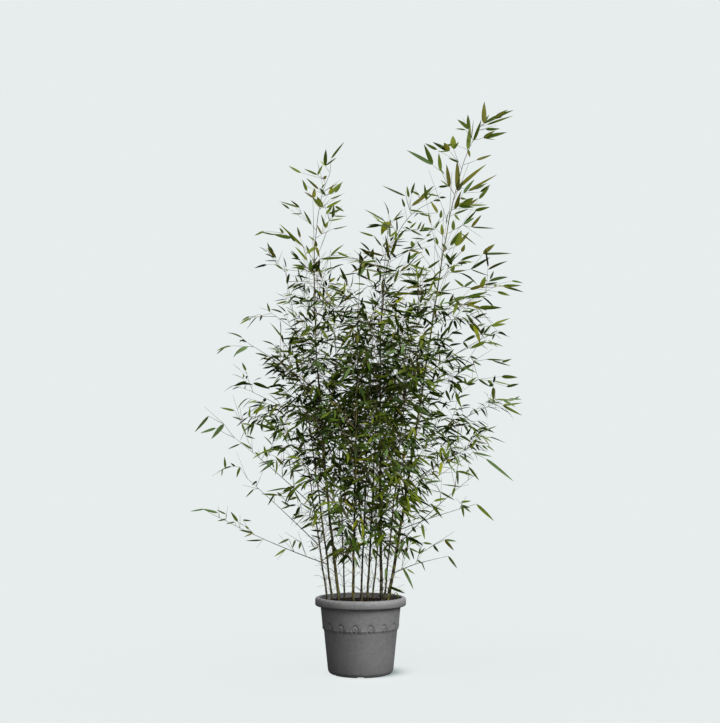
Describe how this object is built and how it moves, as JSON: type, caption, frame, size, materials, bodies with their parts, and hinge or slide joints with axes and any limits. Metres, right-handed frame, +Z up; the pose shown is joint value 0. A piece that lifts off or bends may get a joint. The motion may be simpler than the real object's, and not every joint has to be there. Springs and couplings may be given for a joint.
{
  "type": "potted bamboo",
  "caption": "Clump of slender bamboo culms with arching side boughs and sprays of narrow leaves, growing from soil in a round tapered plastic pot with a wide rim.",
  "frame": {"origin": "centre of the pot's flat underside, which stands on the floor", "axes": "+Z up the plant, +X to the right as the picture shows it, +Y to the back"},
  "size_m": [1.1962, 0.9993, 2.0573],
  "materials": {
    "pot": "moulded dark grey plastic, matte and finely speckled",
    "soil": "moist dark brown potting soil, crumbly",
    "culm": "olive green to dark brown canes with pale rings, half gloss",
    "bough": "thin tan brown side branches",
    "foliage": "mid to deep green leaves with fresh yellow green at the tops, soft sheen"
  },
  "bodies": {
    "root": {"bough_back": "bough", "bough_front": "bough", "bough_left_high": "bough", "bough_left_low": "bough", "bough_left_middle": "bough", "bough_right_high": "bough", "bough_right_low": "bough", "bough_right_middle": "bough", "culm_arching": "culm", "culm_back_left": "culm", "culm_back_right": "culm", "culm_far_left": "culm", "culm_front": "culm", "culm_front_right": "culm", "culm_left": "culm", "culm_middle": "culm", "culm_right": "culm", "culm_tall_left": "culm", "culm_tall_right": "culm", "pot": "pot", "soil": "soil", "spray_bough_back": "foliage", "spray_bough_front": "foliage", "spray_bough_left_high": "foliage", "spray_bough_left_low": "foliage", "spray_bough_left_middle": "foliage", "spray_bough_right_high": "foliage", "spray_bough_right_low": "foliage", "spray_bough_right_middle": "foliage", "spray_side_01": "foliage", "spray_side_02": "foliage", "spray_side_03": "foliage", "spray_side_04": "foliage", "spray_side_05": "foliage", "spray_side_06": "foliage", "spray_side_07": "foliage", "spray_side_08": "foliage", "spray_side_09": "foliage", "spray_side_10": "foliage", "spray_side_11": "foliage", "spray_side_12": "foliage", "spray_side_13": "foliage", "spray_side_14": "foliage", "spray_side_15": "foliage", "spray_side_16": "foliage", "spray_side_17": "foliage", "spray_side_18": "foliage", "spray_side_19": "foliage", "spray_side_20": "foliage", "spray_top_arching": "foliage", "spray_top_back_left": "foliage", "spray_top_back_right": "foliage", "spray_top_far_left": "foliage", "spray_top_front": "foliage", "spray_top_front_right": "foliage", "spray_top_left": "foliage", "spray_top_middle": "foliage", "spray_top_right": "foliage", "spray_top_tall_left": "foliage", "spray_top_tall_right": "foliage"}
  },
  "joints": []
}
